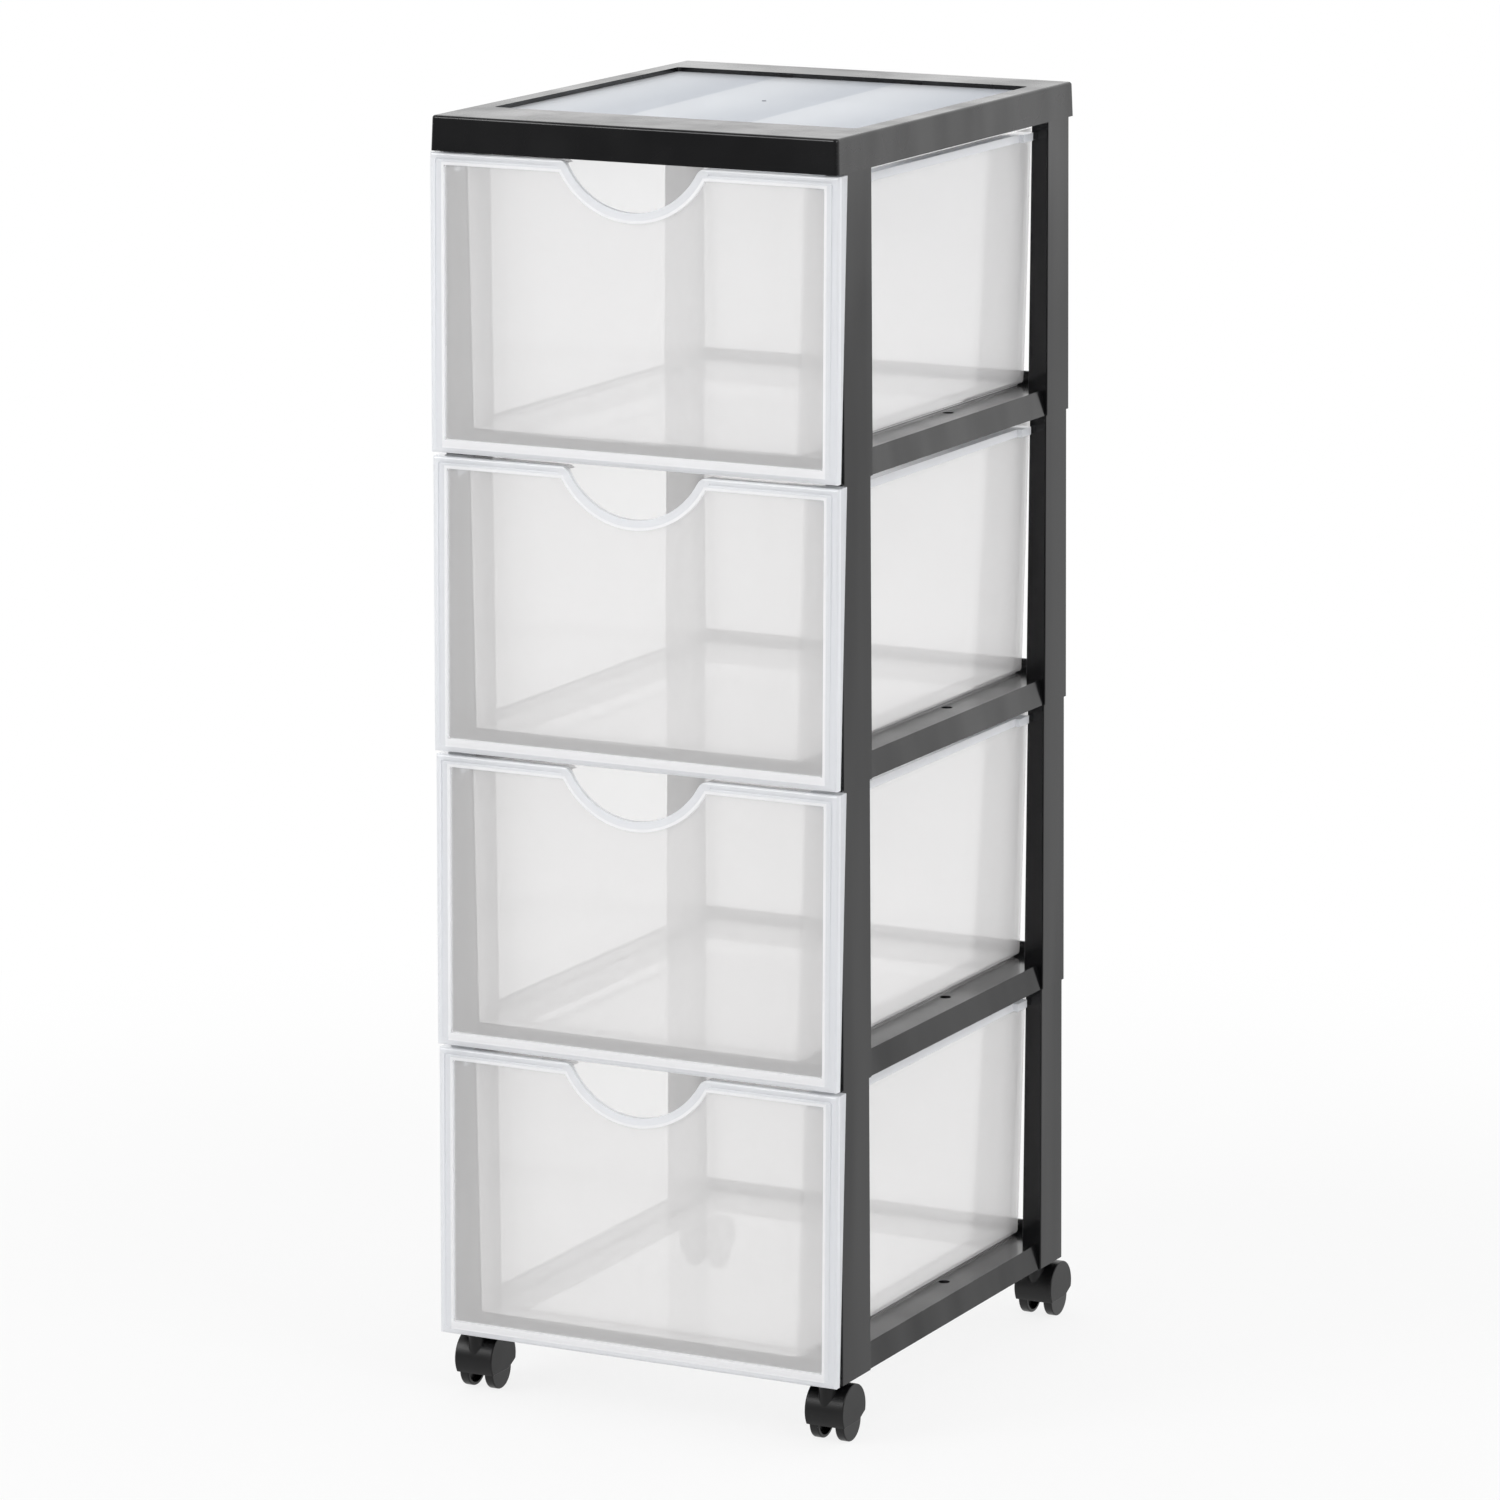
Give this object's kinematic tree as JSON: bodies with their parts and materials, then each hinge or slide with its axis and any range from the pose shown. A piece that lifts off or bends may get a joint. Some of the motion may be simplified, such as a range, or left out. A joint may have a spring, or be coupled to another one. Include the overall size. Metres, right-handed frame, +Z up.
{
  "type": "rolling drawer cart",
  "caption": "Tall rolling storage cart: glossy black frame, translucent pull-out drawers with finger notches, recessed milky top panel and swivelling twin-wheel casters.",
  "frame": {"origin": "centre of the bounding box on the floor, under the casters", "axes": "+Z up, +Y from the drawer fronts to the back, +X to the right seen from the front"},
  "size_m": [0.303, 0.3856, 0.8822],
  "materials": {
    "frame_black": "glossy",
    "drawer_clear": "translucent",
    "panel_milky": "satin",
    "caster_black": "satin",
    "wheel_black": "satin",
    "steel": "zinc plated"
  },
  "bodies": {
    "cart": {"top_frame": "frame_black", "top_panel": "panel_milky", "tier_frame_1": "frame_black", "tier_frame_2": "frame_black", "tier_frame_3": "frame_black", "tier_frame_4": "frame_black", "front_left_stem": "steel", "front_left_grip_ring": "steel", "front_right_stem": "steel", "front_right_grip_ring": "steel", "rear_left_stem": "steel", "rear_left_grip_ring": "steel", "rear_right_stem": "steel", "rear_right_grip_ring": "steel"},
    "drawer_1": {"drawer_1": "drawer_clear"},
    "drawer_2": {"drawer_2": "drawer_clear"},
    "drawer_3": {"drawer_3": "drawer_clear"},
    "drawer_4": {"drawer_4": "drawer_clear"},
    "front_left_caster": {"front_left_hood": "caster_black", "front_left_axle": "steel"},
    "front_left_left_wheel": {"front_left_left_wheel": "wheel_black"},
    "front_left_right_wheel": {"front_left_right_wheel": "wheel_black"},
    "front_right_caster": {"front_right_hood": "caster_black", "front_right_axle": "steel"},
    "front_right_left_wheel": {"front_right_left_wheel": "wheel_black"},
    "front_right_right_wheel": {"front_right_right_wheel": "wheel_black"},
    "rear_left_caster": {"rear_left_hood": "caster_black", "rear_left_axle": "steel"},
    "rear_left_left_wheel": {"rear_left_left_wheel": "wheel_black"},
    "rear_left_right_wheel": {"rear_left_right_wheel": "wheel_black"},
    "rear_right_caster": {"rear_right_hood": "caster_black", "rear_right_axle": "steel"},
    "rear_right_left_wheel": {"rear_right_left_wheel": "wheel_black"},
    "rear_right_right_wheel": {"rear_right_right_wheel": "wheel_black"}
  },
  "joints": [
    {"name": "drawer_1_slide", "type": "slide", "parent": "cart", "child": "drawer_1", "axis": [0, -1, 0], "range_m": [0, 0.255]},
    {"name": "drawer_2_slide", "type": "slide", "parent": "cart", "child": "drawer_2", "axis": [0, -1, 0], "range_m": [0, 0.255]},
    {"name": "drawer_3_slide", "type": "slide", "parent": "cart", "child": "drawer_3", "axis": [0, -1, 0], "range_m": [0, 0.255]},
    {"name": "drawer_4_slide", "type": "slide", "parent": "cart", "child": "drawer_4", "axis": [0, -1, 0], "range_m": [0, 0.255]},
    {"name": "front_left_swivel", "type": "hinge", "parent": "cart", "child": "front_left_caster", "pos_m": [-0.1345, -0.1688, 0.0435], "axis": [0, 0, 1], "continuous": true},
    {"name": "front_left_left_wheel_spin", "type": "hinge", "parent": "front_left_caster", "child": "front_left_left_wheel", "pos_m": [-0.14415, -0.1596, 0.0135], "axis": [1, 0, 0], "continuous": true},
    {"name": "front_left_right_wheel_spin", "type": "hinge", "parent": "front_left_caster", "child": "front_left_right_wheel", "pos_m": [-0.12485, -0.1596, 0.0135], "axis": [1, 0, 0], "continuous": true},
    {"name": "front_right_swivel", "type": "hinge", "parent": "cart", "child": "front_right_caster", "pos_m": [0.1345, -0.1688, 0.0435], "axis": [0, 0, 1], "continuous": true},
    {"name": "front_right_left_wheel_spin", "type": "hinge", "parent": "front_right_caster", "child": "front_right_left_wheel", "pos_m": [0.12485, -0.1596, 0.0135], "axis": [1, 0, 0], "continuous": true},
    {"name": "front_right_right_wheel_spin", "type": "hinge", "parent": "front_right_caster", "child": "front_right_right_wheel", "pos_m": [0.14415, -0.1596, 0.0135], "axis": [1, 0, 0], "continuous": true},
    {"name": "rear_left_swivel", "type": "hinge", "parent": "cart", "child": "rear_left_caster", "pos_m": [-0.1345, 0.1658, 0.0435], "axis": [0, 0, 1], "continuous": true},
    {"name": "rear_left_left_wheel_spin", "type": "hinge", "parent": "rear_left_caster", "child": "rear_left_left_wheel", "pos_m": [-0.14415, 0.175, 0.0135], "axis": [1, 0, 0], "continuous": true},
    {"name": "rear_left_right_wheel_spin", "type": "hinge", "parent": "rear_left_caster", "child": "rear_left_right_wheel", "pos_m": [-0.12485, 0.175, 0.0135], "axis": [1, 0, 0], "continuous": true},
    {"name": "rear_right_swivel", "type": "hinge", "parent": "cart", "child": "rear_right_caster", "pos_m": [0.1345, 0.1658, 0.0435], "axis": [0, 0, 1], "continuous": true},
    {"name": "rear_right_left_wheel_spin", "type": "hinge", "parent": "rear_right_caster", "child": "rear_right_left_wheel", "pos_m": [0.12485, 0.175, 0.0135], "axis": [1, 0, 0], "continuous": true},
    {"name": "rear_right_right_wheel_spin", "type": "hinge", "parent": "rear_right_caster", "child": "rear_right_right_wheel", "pos_m": [0.14415, 0.175, 0.0135], "axis": [1, 0, 0], "continuous": true}
  ]
}
